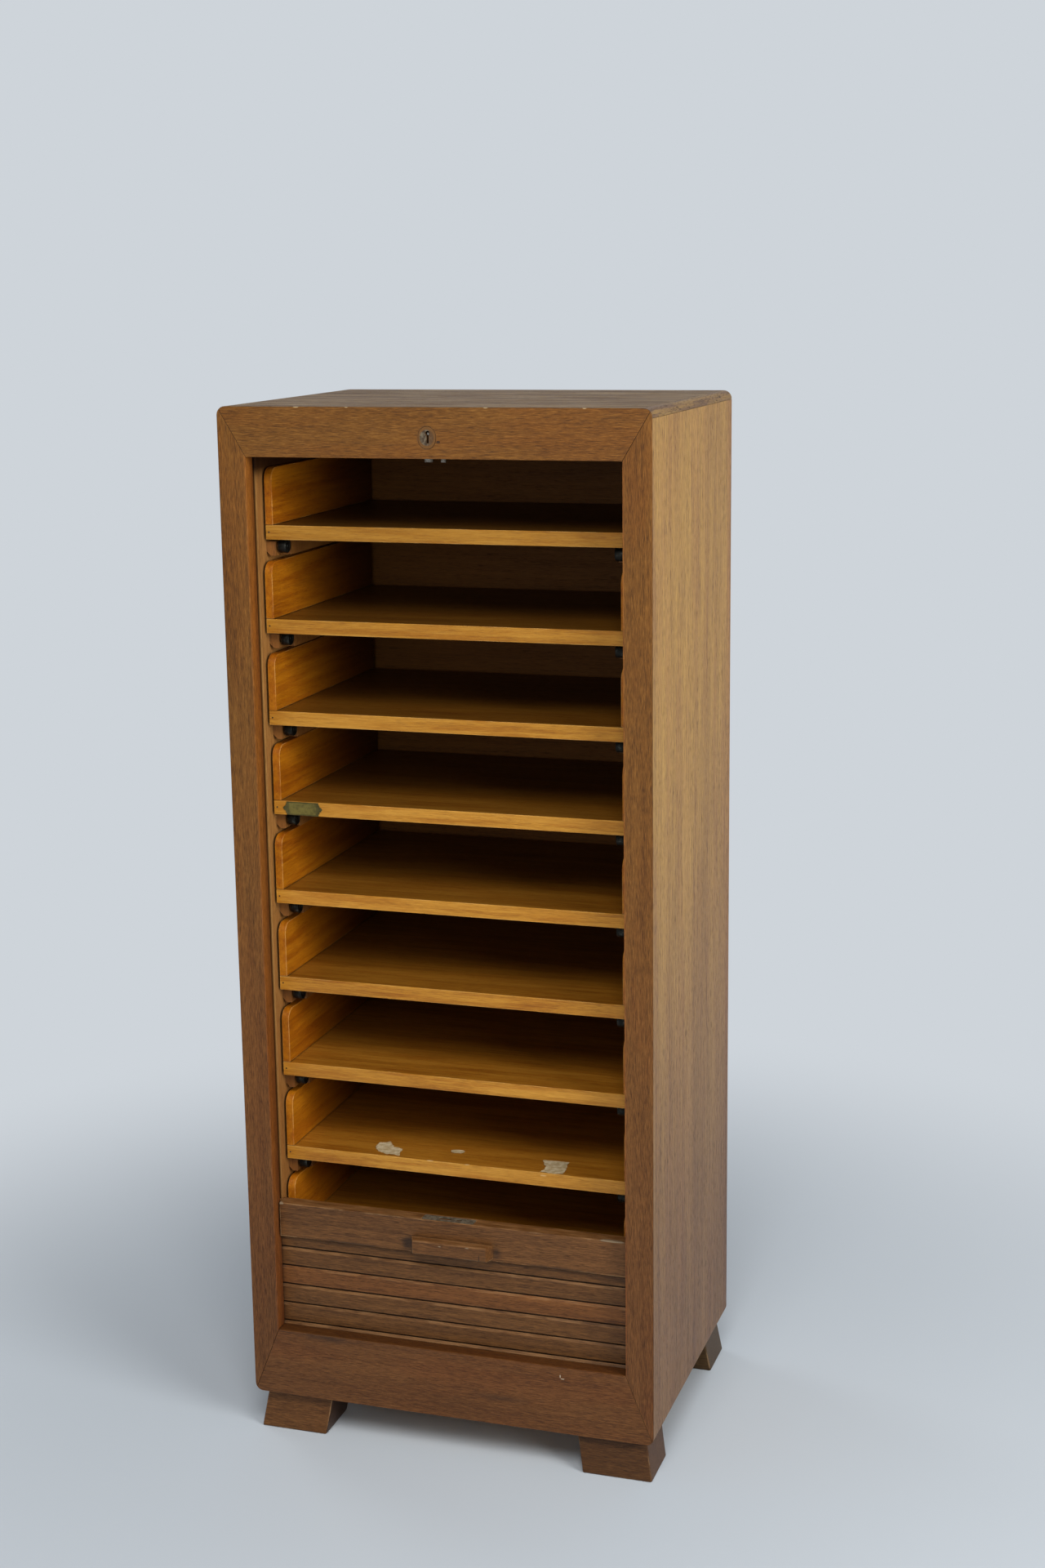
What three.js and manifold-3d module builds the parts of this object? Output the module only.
// Cupboard with a roller shutter and pull-out trays.
// Millimetres, +Z up, front towards -Y. Pieces are drawn with y = 0 at the front of the frame,
// x = 0 on the centre line and z = 0 on the floor. The group moves them back over its origin,
// which lies on the floor under the middle of the case.

import * as THREE from "three";
import { mergeVertices } from "three/addons/utils/BufferGeometryUtils.js";
import Module from "manifold-3d";

const wasm = await Module();
wasm.setup();

// Case
const width = 486;
const depth = 361;
const height = 1200;
const footHeight = 49;
const panelThickness = 18;
const backThickness = 6;
const cornerRadius = 9.5;
const lippingSize = 10;

// Front frame
const frameThickness = 18;
const stileWidth = 32;
const topRailHeight = 54;
const bottomRailHeight = 81;

// Feet
const footWidth = 82;
const footDepth = 65;
const footSideInset = 3.5;
const footFrontInset = 6.5;
const footBackInset = 3.5;
const footSideSplay = 8;
const footEndSplay = 6.5;

// Fits
const gap = 0.3;
const mitreGap = 0.4;
const bite = 0.5;
const overrun = 2;

// Track in the liners
const trackWidth = 8.5;
const trackWeb = 4;
const bendRadius = 52;

// The core's corner is rounder than the track's outer wall, by a multiple of the room that a
// flat slat takes on the inside of the bend
const bendEaseShare = 3.2;

// Inner back and floor
const innerBackThickness = 4;
const innerBackToTrack = 1.5;
const innerFloorThickness = 8;
const innerFloorDrop = 2;

// Curtain
const slatThickness = 7;
const slatPitch = 23.3;
const slatSpacing = 0.6;
const slatRunning = 0.6;
const slatTopBevelHeight = 3;
const slatTopBevelDepth = 1.8;
const slatLowBevel = 2;
const firstSlatHeight = 15.9;
const frontSlatCount = 5;
const curtainSill = 3.3;
const spareSlatCount = 1;
const clothThickness = 0.7;
const clothSeat = 0.2;
const clothMargin = 4;

// Lead rail
const leadHeight = 41.1;
const leadThickness = 18;
const leadProud = 5;
const leadEdgeRadius = 1;
const leadEndClearance = 1.4;
const leadRebateHeight = 13.6;
const closedClearance = 0.5;

// Pull on the lead rail
const pullLength = 98;
const pullFrontLength = 88;
const pullCentre = 3;
const pullHeight = 17;
const pullRise = 2.6;
const pullSetback = 0.8;
const pullGrooveLength = 72;
const pullGrooveHeight = 6;
const pullLip = 1.7;
const pullRounding = 2;

// Lock
const keyholeCentre = -1;
const keyholeDrop = 27.3;
const keyholeRadius = 2.6;
const keySlotWidth = 2.6;
const keySlotDrop = 10.4;
const keyPinRadius = 1.1;
const keyPinSetback = 4;
const escutcheonCentre = -1.8;
const escutcheonWidth = 19;
const escutcheonHeight = 23.4;
const escutcheonDrop = 31.8;
const escutcheonThickness = 1.2;
const lockCaseWidth = 60;
const lockCaseThickness = 9;
const lockCaseRise = 0.5;
const boltThickness = 2.6;
const boltRise = 4;
const boltToKeyhole = 6.7;
const boltEndMargin = 0.5;
const boltTravel = 5;
const lugs = [{ centre: -8, width: 9 }, { centre: 8.6, width: 5 }];
const lugReach = 5;

// Strike plate
const strikeLength = 62;
const strikeWidth = 13;
const strikeThickness = 1.5;
const strikeCentre = -3;
const strikeSetback = 1.5;
const strikeRadius = 2;
const wideHoleLength = 17;
const wideHoleWidth = 6;
const narrowHoleLength = 7;
const narrowHoleWidth = 5;
const lugPocketDepth = 8;

// Trays
const trayCount = 9;
const trayThickness = 16;
const traySideThickness = 9;
const traySideRadius = 13;
const traySideClearance = 2.5;
const trayHeadroom = 5.8;
const trayToShutter = 1.5;
const trayScatter = 8.5;
const trayBackRoom = 2;
const topTrayDrop = 93.8;
const lowTrayRise = 95.8;
const skidLength = 28;
const skidInset = 3;
const skidWidth = 19;

// How far each tray stands back from the foremost, from the top down
const scatterShares = [1, 0.18, 0, 0.47, 0.18, 0.29, 0.35, 0.65, 0.41];

// Runners and their rollers
const runnerWidth = 22;
const runnerHeight = 16;
const runnerDrop = 2.5;
const runnerSetback = 14.5;
const runnerChamfer = 5;
const rollerRadius = 7.75;
const rollerWidth = 9;
const rollerNotchWidth = 11;
const rollerToFront = 9;
const rollerAir = 1.25;
const rollerPinRadius = 2.5;

// Roundness of curved outlines
const arcSteps = 6;
const bendSteps = 14;
const roundSides = 20;
const sharpShare = 0.05;

// Places worked out from the sizes above
const outerX = width / 2;
const innerX = outerX - panelThickness;
const openX = outerX - stileWidth;
const lippingX = outerX - lippingSize;
const caseBottom = footHeight;
const interiorBottom = caseBottom + panelThickness;
const interiorTop = height - panelThickness;
const lippingBottom = height - lippingSize;
const openBottom = caseBottom + bottomRailHeight;
const openTop = height - topRailHeight;
const backFront = depth - backThickness;
const trackCut = innerX - openX - trackWeb;
const bendCentre = interiorBottom + bendRadius;
const innerBackFront = backFront - trackWidth - innerBackToTrack - innerBackThickness;
const slatFront = frameThickness + slatRunning;
const slatBack = slatFront + slatThickness;
const slatEnd = openX + trackCut - slatRunning;
const clothEnd = openX - clothMargin;
const curtainStart = openBottom + curtainSill;
const curtainRadius = bendRadius - slatRunning - slatThickness;
const slatSag = slatPitch ** 2 / (8 * curtainRadius);
const leadBottom = curtainStart + (frontSlatCount - 1) * slatPitch + firstSlatHeight;
const leadTop = leadBottom + leadHeight;
const leadFront = frameThickness - leadProud;
const leadBack = leadFront + leadThickness;
const shutterTravel = openTop - closedClearance - leadTop;
const trayFront = leadBack + trayToShutter;
const trayX = openX - traySideClearance;
const trayDepth = innerBackFront - trayBackRoom - trayFront - trayScatter;
const trayPitch = (openTop - topTrayDrop - openBottom - lowTrayRise) / (trayCount - 1);
const traySideHeight = trayPitch - trayThickness - runnerDrop - runnerHeight - trayHeadroom;
const runnerFront = trayFront + runnerSetback;
const rollerY = runnerFront + rollerToFront;
const keyholeHeight = height - keyholeDrop;
const lugY = slatFront + slatThickness / 2;

// Solids

// Turns a closed geometry into a solid that can be joined and cut.
function solid(geometry) {
  const bare = geometry.clone();
  bare.deleteAttribute("normal");
  bare.deleteAttribute("uv");
  const welded = mergeVertices(bare);
  return new wasm.Manifold(new wasm.Mesh({
    numProp: 3,
    vertProperties: welded.attributes.position.array,
    triVerts: Uint32Array.from(welded.index.array),
  }));
}

// Turns a solid back into a geometry that can be shown.
function geometryOf(piece) {
  const mesh = piece.getMesh();
  const geometry = new THREE.BufferGeometry();
  geometry.setAttribute("position", new THREE.BufferAttribute(mesh.vertProperties, mesh.numProp));
  geometry.setIndex(new THREE.BufferAttribute(mesh.triVerts, 1));
  geometry.computeVertexNormals();
  return geometry;
}

// A block between two corners, given as [x, y, z] in any order.
function block(one, other) {
  const size = one.map((value, axis) => Math.abs(other[axis] - value));
  const centre = one.map((value, axis) => (other[axis] + value) / 2);
  const geometry = new THREE.BoxGeometry(...size);
  geometry.translate(...centre);
  return solid(geometry);
}

// How a flat outline is turned before it runs along each axis. Its points are [y, z] for a bar
// along x, [x, z] for one along y and [x, y] for one along z.
const alongX = new THREE.Vector3(1, 0, 0);
const alongY = new THREE.Vector3(0, 1, 0);
const alongZ = new THREE.Vector3(0, 0, 1);
const turns = {
  x: new THREE.Matrix4().makeBasis(alongY, alongZ, alongX),
  y: new THREE.Matrix4().makeBasis(alongX, alongZ, alongY.clone().negate()),
  z: new THREE.Matrix4().makeBasis(alongX, alongY, alongZ),
};

// A straight bar with the outline's section, between two places along an axis.
function bar(outline, axis, from, to) {
  const shape = new THREE.Shape(outline.map(([u, v]) => new THREE.Vector2(u, v)));
  const geometry = new THREE.ExtrudeGeometry(shape, {
    depth: Math.abs(to - from),
    bevelEnabled: false,
  });
  geometry.applyMatrix4(turns[axis]);
  const start = axis === "y" ? Math.max(from, to) : Math.min(from, to);
  geometry.translate(...["x", "y", "z"].map((name) => (name === axis ? start : 0)));
  return solid(geometry);
}

// A round bar along x.
function roundBar(radius, from, to, y, z) {
  const geometry = new THREE.CylinderGeometry(radius, radius, Math.abs(to - from), roundSides);
  geometry.rotateZ(Math.PI / 2);
  geometry.translate((from + to) / 2, y, z);
  return solid(geometry);
}

// A solid between two outlines with as many points. Seen against the way from the first to the
// second, both run counterclockwise.
function loft(first, second) {
  const count = first.length;
  const faces = [];
  for (let i = 0; i < count; i += 1) {
    const next = (i + 1) % count;
    faces.push(i, count + i, count + next, i, count + next, next);
  }
  for (let i = 1; i < count - 1; i += 1) {
    faces.push(0, i, i + 1, count, count + i + 1, count + i);
  }
  const geometry = new THREE.BufferGeometry();
  const positions = new Float32Array([...first, ...second].flat());
  geometry.setAttribute("position", new THREE.BufferAttribute(positions, 3));
  geometry.setIndex(faces);
  return solid(geometry);
}

const join = (pieces) => pieces.reduce((whole, piece) => whole.add(piece));

// Outlines

// Points on a quarter turn, counterclockwise.
function quarterArc(u, v, radius, start, steps) {
  return Array.from({ length: steps + 1 }, (_, i) => {
    const angle = start + (steps ? i / steps : 0) * Math.PI / 2;
    return [u + radius * Math.cos(angle), v + radius * Math.sin(angle)];
  });
}

// A rectangle with round corners, counterclockwise. The radii are those of the low right, high
// right, high left and low left corners, and zero leaves a corner sharp.
function roundedOutline(u0, v0, u1, v1, radii, steps = arcSteps) {
  const corners = [[u1, v0, -1, 1], [u1, v1, -1, -1], [u0, v1, 1, -1], [u0, v0, 1, 1]];
  return corners.flatMap(([u, v, inU, inV], corner) => {
    const radius = radii[corner];
    const start = (corner - 1) * Math.PI / 2;
    return quarterArc(u + inU * radius, v + inV * radius, radius, start, radius > 0 ? steps : 0);
  });
}

const allCorners = (radius) => [radius, radius, radius, radius];

// The case seen from the front, drawn in all round.
function caseOutline(inset, radius) {
  return roundedOutline(
    inset - outerX, caseBottom + inset, outerX - inset, height - inset, allCorners(radius),
  );
}

// The front frame's space, which narrows backwards to a mitred arris all round the case, and
// whose corners sharpen on the way.
function frameSpace(from, to, clearance) {
  const ring = (y) => {
    const share = y / frameThickness;
    const inset = panelThickness * share - clearance;
    const radius = cornerRadius * (1 - (1 - sharpShare) * share) + clearance;
    return caseOutline(inset, radius).map(([x, z]) => [x, y, z]);
  };
  return loft(ring(from), ring(to));
}

// Colours
const finish = (color, roughness, metalness = 0) => (
  new THREE.MeshStandardMaterial({ color, roughness, metalness })
);
const frontOak = finish(0x734b2a, 0.5);
const sideOak = finish(0xa07e55, 0.55);
const innerWood = finish(0xb58a50, 0.6);
const trayWood = finish(0xc08a38, 0.5);
const slatWood = finish(0x6e4a2c, 0.55);
const cloth = finish(0x8d8468, 0.9);
const steel = finish(0x8a8780, 0.4, 0.9);

// The whole cupboard
const cupboard = new THREE.Group();
cupboard.position.y = -depth / 2;

// Adds a named piece to a group.
function place(name, geometry, material, parent = cupboard) {
  const mesh = new THREE.Mesh(geometry, material);
  mesh.name = name;
  parent.add(mesh);
  return mesh;
}

const addPiece = (name, piece, material) => place(name, geometryOf(piece), material);

// Case panels

const caseSpace = bar(caseOutline(0, cornerRadius), "y", 0, depth);
const frameCutter = frameSpace(-overrun, frameThickness + gap, gap * Math.SQRT2);
const fitCase = (piece) => piece.intersect(caseSpace).subtract(frameCutter);

function addPanels() {
  const topBoard = block([gap - lippingX, 0, lippingBottom], [lippingX - gap, depth, height]);
  const topCore = block(
    [gap - innerX, 0, interiorTop], [innerX - gap, depth, lippingBottom + bite],
  );
  addPiece("top_panel", fitCase(topBoard.add(topCore)), sideOak);

  const bottomBoard = block([gap - innerX, 0, caseBottom], [innerX - gap, depth, interiorBottom]);
  addPiece("bottom_panel", fitCase(bottomBoard), sideOak);

  for (const [name, side] of [["left", -1], ["right", 1]]) {
    const panel = block(
      [side * innerX, 0, caseBottom], [side * outerX, depth, lippingBottom - gap],
    );
    addPiece(`${name}_side_panel`, fitCase(panel), sideOak);
    const lipping = block([side * lippingX, 0, lippingBottom], [side * outerX, depth, height]);
    addPiece(`top_${name}_lipping`, fitCase(lipping), sideOak);
  }

  addPiece("back_panel", block(
    [gap - innerX, backFront, interiorBottom + gap], [innerX - gap, depth, interiorTop - gap],
  ), innerWood);
}

function addInnerPanels() {
  const floorTop = openBottom - innerFloorDrop;
  const floorBottom = floorTop - innerFloorThickness;
  const slatInBend = Math.max(slatPitch - (curtainStart - bendCentre), 0);
  const curtainLean = slatInBend ** 2 / (2 * curtainRadius);
  const floorFront = slatBack + clothThickness + slatRunning + curtainLean;
  addPiece("inner_floor", block(
    [gap - openX, floorFront, floorBottom],
    [openX - gap, innerBackFront - gap, floorTop],
  ), innerWood);
  addPiece("inner_back_panel", block(
    [gap - openX, innerBackFront, floorBottom],
    [openX - gap, innerBackFront + innerBackThickness, interiorTop - gap],
  ), innerWood);
}

// Front frame, mitred from the corners of the opening to the corners of the case

function escutcheonOutline(clearance) {
  const centre = height - escutcheonDrop;
  const halfWidth = escutcheonWidth / 2 + clearance;
  const halfHeight = escutcheonHeight / 2 + clearance;
  return roundedOutline(
    escutcheonCentre - halfWidth, centre - halfHeight,
    escutcheonCentre + halfWidth, centre + halfHeight, allCorners(halfWidth),
  );
}

// The keyhole, as a cutter from the front to a depth.
function keyhole(to) {
  const round = roundedOutline(
    keyholeCentre - keyholeRadius, keyholeHeight - keyholeRadius,
    keyholeCentre + keyholeRadius, keyholeHeight + keyholeRadius, allCorners(keyholeRadius),
  );
  const slot = block(
    [keyholeCentre - keySlotWidth / 2, -overrun, keyholeHeight - keySlotDrop],
    [keyholeCentre + keySlotWidth / 2, to, keyholeHeight],
  );
  return bar(round, "y", -overrun, to).add(slot);
}

function addFrame() {
  const frame = frameSpace(0, frameThickness, 0);
  const member = (points) => frame.intersect(bar(points, "y", 0, frameThickness));
  const rail = (opening, edge) => member([
    [mitreGap - openX, opening], [openX - mitreGap, opening],
    [outerX - mitreGap, edge], [mitreGap - outerX, edge],
  ]);
  const recess = bar(escutcheonOutline(gap), "y", -overrun, escutcheonThickness + gap);
  const topRail = rail(openTop, height).subtract(recess);
  addPiece("top_rail", topRail.subtract(keyhole(frameThickness + overrun)), frontOak);
  addPiece("bottom_rail", rail(openBottom, caseBottom), frontOak);
  for (const [name, side] of [["left", -1], ["right", 1]]) {
    addPiece(`${name}_stile`, member([
      [side * openX, openBottom], [side * outerX, caseBottom],
      [side * outerX, height], [side * openX, openTop],
    ]), frontOak);
  }
}

// Feet, splayed outwards to the floor

function addFeet() {
  const top = footHeight - gap;
  for (const [sideName, side] of [["left", -1], ["right", 1]]) {
    for (const end of ["front", "rear"]) {
      const lean = end === "front" ? -1 : 1;
      const outer = outerX - footSideInset;
      const y0 = end === "front" ? footFrontInset : depth - footBackInset - footDepth;
      const xs = [side * outer, side * (outer - footWidth)].sort((a, b) => a - b);
      const ring = (z, shiftX, shiftY) => [
        [xs[0] + shiftX, y0 + shiftY, z],
        [xs[1] + shiftX, y0 + shiftY, z],
        [xs[1] + shiftX, y0 + footDepth + shiftY, z],
        [xs[0] + shiftX, y0 + footDepth + shiftY, z],
      ];
      const upper = ring(top, -side * footSideSplay, -lean * footEndSplay);
      addPiece(`${end}_${sideName}_foot`, loft(upper, ring(0, 0, 0)), frontOak);
    }
  }
}

// Liners: a board with the curtain's track, and a runner with a roller for each tray

const trayBottom = (index) => openTop - topTrayDrop - index * trayPitch;

function trackCutter(side) {
  const top = interiorTop + overrun;
  const outer = [bendRadius, 0, 0, bendRadius];
  const coreRadius = bendRadius - trackWidth + slatSag * bendEaseShare;
  const core = [coreRadius, 0, 0, coreRadius];
  const from = side * (openX - overrun);
  const to = side * (openX + trackCut);
  const space = bar(
    roundedOutline(frameThickness, interiorBottom, backFront, top, outer, bendSteps),
    "x", from, to,
  );
  return space.subtract(bar(
    roundedOutline(
      frameThickness + trackWidth, interiorBottom + trackWidth,
      backFront - trackWidth, top + overrun, core, bendSteps,
    ),
    "x", side * (openX - overrun - bite), side * (openX + trackCut + bite),
  ));
}

function runner(side, bottom) {
  const high = bottom - runnerDrop;
  const low = high - runnerHeight;
  const inner = openX - runnerWidth;
  const section = [
    [inner, high], [openX + bite, high], [openX + bite, low + runnerChamfer + bite],
    [openX - runnerChamfer, low], [inner, low],
  ].map(([x, z]) => [side * x, z]);
  const wood = bar(section, "y", runnerFront, innerBackFront - gap);
  const notchInner = inner + rollerNotchWidth;
  const notch = block(
    [side * (inner - overrun), runnerFront - overrun, low - overrun],
    [side * notchInner, rollerY + rollerRadius + rollerAir, high + overrun],
  );
  const rollerZ = bottom - gap - rollerRadius;
  const roller = roundBar(
    rollerRadius, side * (inner + gap), side * (inner + gap + rollerWidth), rollerY, rollerZ,
  );
  const pin = roundBar(
    rollerPinRadius, side * (inner + gap + bite), side * (notchInner + bite), rollerY, rollerZ,
  );
  return join([wood.subtract(notch), pin, roller]);
}

function addLiners() {
  for (const [name, side] of [["left", -1], ["right", 1]]) {
    const board = block(
      [side * openX, frameThickness + gap, interiorBottom + gap],
      [side * (innerX - gap), backFront - gap, interiorTop - gap],
    );
    const runners = Array.from({ length: trayCount }, (_, i) => runner(side, trayBottom(i)));
    const liner = join([board.subtract(trackCutter(side)), ...runners]);
    addPiece(`${name}_liner`, liner, innerWood);
  }
}

// Curtain

// A slat's section between two points [y, z] on the line that the curtain's back follows. Its
// face lies on the outer side of the track, with the large bevel at the first point.
function slatSection(from, to) {
  const run = to.clone().sub(from);
  const along = run.clone().normalize();
  const out = new THREE.Vector2(along.y, -along.x);
  const start = slatSpacing / 2;
  const end = run.length() - slatSpacing / 2;
  return [
    [start, 0], [start, slatThickness - slatTopBevelDepth],
    [start + slatTopBevelHeight, slatThickness], [end - slatLowBevel, slatThickness],
    [end, slatThickness - slatLowBevel], [end, 0],
  ].map(([u, v]) => from.clone().addScaledVector(along, u).addScaledVector(out, v).toArray());
}

const slat = (from, to) => bar(slatSection(from, to), "x", -slatEnd, slatEnd);

// The line that the curtain's back follows, as points one slat apart: down behind the bottom
// rail, round the front bend, under the inner floor, round the rear bend and up the back.
function curtainLine() {
  const radius = curtainRadius;
  const front = frameThickness + bendRadius;
  const rear = backFront - bendRadius;
  const hiddenCount = Math.ceil(shutterTravel / slatPitch) + spareSlatCount;
  const toRearBend = curtainStart - bendCentre + rear - front + Math.PI * radius;
  const rise = hiddenCount * slatPitch - toRearBend;
  const line = new THREE.Path();
  line.moveTo(front - radius, curtainStart);
  line.lineTo(front - radius, bendCentre);
  line.absarc(front, bendCentre, radius, Math.PI, 1.5 * Math.PI, false);
  line.lineTo(rear, bendCentre - radius);
  line.absarc(rear, bendCentre, radius, 1.5 * Math.PI, 2 * Math.PI, false);
  line.lineTo(rear + radius, bendCentre + rise);
  return line.getSpacedPoints(hiddenCount);
}

// Moves each point of a line square to it, towards the outer side of the track.
function offsetLine(points, distance) {
  return points.map((point, i) => {
    const before = points[Math.max(i - 1, 0)];
    const after = points[Math.min(i + 1, points.length - 1)];
    const along = after.clone().sub(before).normalize();
    return [point.x + along.y * distance, point.y - along.x * distance];
  });
}

function addHiddenCurtain() {
  const line = curtainLine();
  const slats = line.slice(1).map((point, i) => slat(line[i], point));
  const outer = offsetLine(line, clothSeat);
  const inner = offsetLine(line, -clothThickness);
  const backing = bar([...outer, ...inner.reverse()], "x", -clothEnd, clothEnd);
  addPiece("hidden_curtain", join([backing, ...slats]), slatWood);
}

function addFrontSlats() {
  const lineAt = (z) => new THREE.Vector2(slatBack, z);
  const first = slat(lineAt(leadBottom), lineAt(leadBottom - firstSlatHeight));
  addPiece("slat_1", first, slatWood);
  const common = geometryOf(slat(lineAt(0), lineAt(-slatPitch)));
  for (let i = 1; i < frontSlatCount; i += 1) {
    const mesh = place(`slat_${i + 1}`, common, slatWood);
    mesh.position.z = leadBottom - firstSlatHeight - (i - 1) * slatPitch;
  }
  addPiece("shutter_canvas", block(
    [-clothEnd, slatBack + clothSeat, curtainStart + slatSpacing],
    [clothEnd, slatBack + clothSeat + clothThickness, leadBottom + leadRebateHeight - gap],
  ), cloth);
}

// Lead rail with its pull and strike plate

const strikeHoles = [
  { lug: lugs[0], length: wideHoleLength, width: wideHoleWidth, radius: wideHoleWidth / 2 },
  { lug: lugs[1], length: narrowHoleLength, width: narrowHoleWidth, radius: 0 },
];

// A strike hole, from a place below the rail's top to one above it.
function strikeHole({ lug, length, width: across, radius }, from, to) {
  return bar(roundedOutline(
    lug.centre - length / 2, lugY - across / 2,
    lug.centre + length / 2, lugY + across / 2, allCorners(radius),
  ), "z", from, to);
}

function strikeBar(clearance, from, to) {
  const front = leadFront + strikeSetback;
  const half = strikeLength / 2 + clearance;
  return bar(roundedOutline(
    strikeCentre - half, front - clearance,
    strikeCentre + half, front + strikeWidth + clearance, allCorners(strikeRadius),
  ), "z", from, to);
}

function addLeadRail() {
  const end = openX - leadEndClearance;
  const rounds = [0, leadEdgeRadius, leadEdgeRadius, 0];
  const body = bar(
    roundedOutline(leadFront, leadBottom, leadBack, leadTop, rounds), "x", -end, end,
  );
  const tongues = block([-slatEnd, slatFront, leadBottom], [slatEnd, slatBack, leadTop]);
  const rebate = block(
    [-end - overrun, slatBack, leadBottom - overrun],
    [end + overrun, leadBack + overrun, leadBottom + leadRebateHeight],
  );
  const recess = strikeBar(gap, leadTop - strikeThickness - gap, leadTop + overrun);
  const pocketFloor = leadTop - strikeThickness - lugPocketDepth;
  const pockets = strikeHoles.map((hole) => strikeHole(hole, pocketFloor, leadTop + overrun));
  const rail = body.subtract(rebate).add(tongues);
  addPiece("lead_rail", rail.subtract(join([recess, ...pockets])), frontOak);

  const plate = strikeBar(0, leadTop - strikeThickness, leadTop);
  const holes = strikeHoles.map((hole) => strikeHole(hole, leadTop - lugPocketDepth, leadTop + overrun));
  addPiece("strike_plate", plate.subtract(join(holes)), steel);
}

function addPull() {
  const bottom = leadBottom + pullRise;
  const back = leadFront - gap;
  const top = bottom + pullHeight;
  const plan = [
    [pullCentre - pullLength / 2, back], [pullCentre - pullFrontLength / 2, pullSetback],
    [pullCentre + pullFrontLength / 2, pullSetback], [pullCentre + pullLength / 2, back],
  ];
  const rounds = [0, 0, pullRounding, pullRounding];
  const side = roundedOutline(pullSetback, bottom, back, top, rounds);
  const body = bar(plan, "z", bottom, top).intersect(
    bar(side, "x", pullCentre - pullLength, pullCentre + pullLength),
  );
  const groove = block(
    [pullCentre - pullGrooveLength / 2, pullSetback + pullLip, bottom - overrun],
    [pullCentre + pullGrooveLength / 2, back + overrun, bottom + pullGrooveHeight],
  );
  addPiece("handle", body.subtract(groove), frontOak);
}

// Lock behind the top rail

function addLock() {
  addPiece("keyhole_escutcheon", bar(escutcheonOutline(0), "y", 0, escutcheonThickness)
    .subtract(keyhole(escutcheonThickness + overrun)), steel);

  const plateBack = lugY + boltThickness / 2;
  const plateFront = lugY - boltThickness / 2;
  const boltBottom = openTop + boltRise;
  const boltTop = keyholeHeight - boltToKeyhole;
  const left = lugs[0].centre - lugs[0].width / 2 - boltEndMargin;
  const right = lugs[1].centre + lugs[1].width / 2 + boltEndMargin;
  const plate = block([left, plateFront, boltBottom], [right, plateBack, boltTop]);
  const tails = lugs.map(({ centre, width: across }) => block(
    [centre - across / 2, plateFront, openTop - lugReach],
    [centre + across / 2, plateBack, boltBottom + bite],
  ));
  addPiece("lock_bolt", join([plate, ...tails]), steel);

  const caseFront = frameThickness + gap;
  const caseLow = openTop + lockCaseRise;
  const body = block(
    [keyholeCentre - lockCaseWidth / 2, caseFront, caseLow],
    [keyholeCentre + lockCaseWidth / 2, caseFront + lockCaseThickness, interiorTop - gap],
  );
  const pocket = block(
    [left - gap, caseFront - overrun, caseLow - overrun],
    [right + gap, plateBack + gap, Math.max(boltTop + boltTravel, keyholeHeight) + boltEndMargin],
  );
  const pin = bar(roundedOutline(
    keyholeCentre - keyPinRadius, keyholeHeight - keyPinRadius,
    keyholeCentre + keyPinRadius, keyholeHeight + keyPinRadius, allCorners(keyPinRadius),
  ), "y", keyPinSetback, plateBack + gap + bite);
  addPiece("lock_case", body.subtract(pocket).add(pin), steel);
}

// Trays: a flat floor with skids under its rear, and a side at each end

function addTrays() {
  const skidFront = trayDepth - skidInset - skidLength;
  const skids = [-1, 1].map((side) => block(
    [side * trayX, skidFront, gap - runnerDrop],
    [side * (trayX - skidWidth), skidFront + skidLength, bite],
  ));
  const board = block([-trayX, 0, 0], [trayX, trayDepth, trayThickness]);
  const floor = geometryOf(join([board, ...skids]));
  const low = trayThickness + gap;
  const sideOutline = roundedOutline(
    0, low, trayDepth, trayThickness + traySideHeight, [0, 0, traySideRadius, 0],
  );
  const sides = [["left", -1], ["right", 1]].map(([name, side]) => [name, geometryOf(
    bar(sideOutline, "x", side * trayX, side * (trayX - traySideThickness)),
  )]);
  for (let i = 0; i < trayCount; i += 1) {
    const tray = new THREE.Group();
    tray.position.set(0, trayFront + trayScatter * scatterShares[i], trayBottom(i));
    place(`tray_${i + 1}_floor`, floor, trayWood, tray);
    for (const [name, geometry] of sides) {
      place(`tray_${i + 1}_${name}_side`, geometry, trayWood, tray);
    }
    cupboard.add(tray);
  }
}

addPanels();
addInnerPanels();
addFrame();
addFeet();
addLiners();
addHiddenCurtain();
addFrontSlats();
addLeadRail();
addPull();
addLock();
addTrays();

export default cupboard;
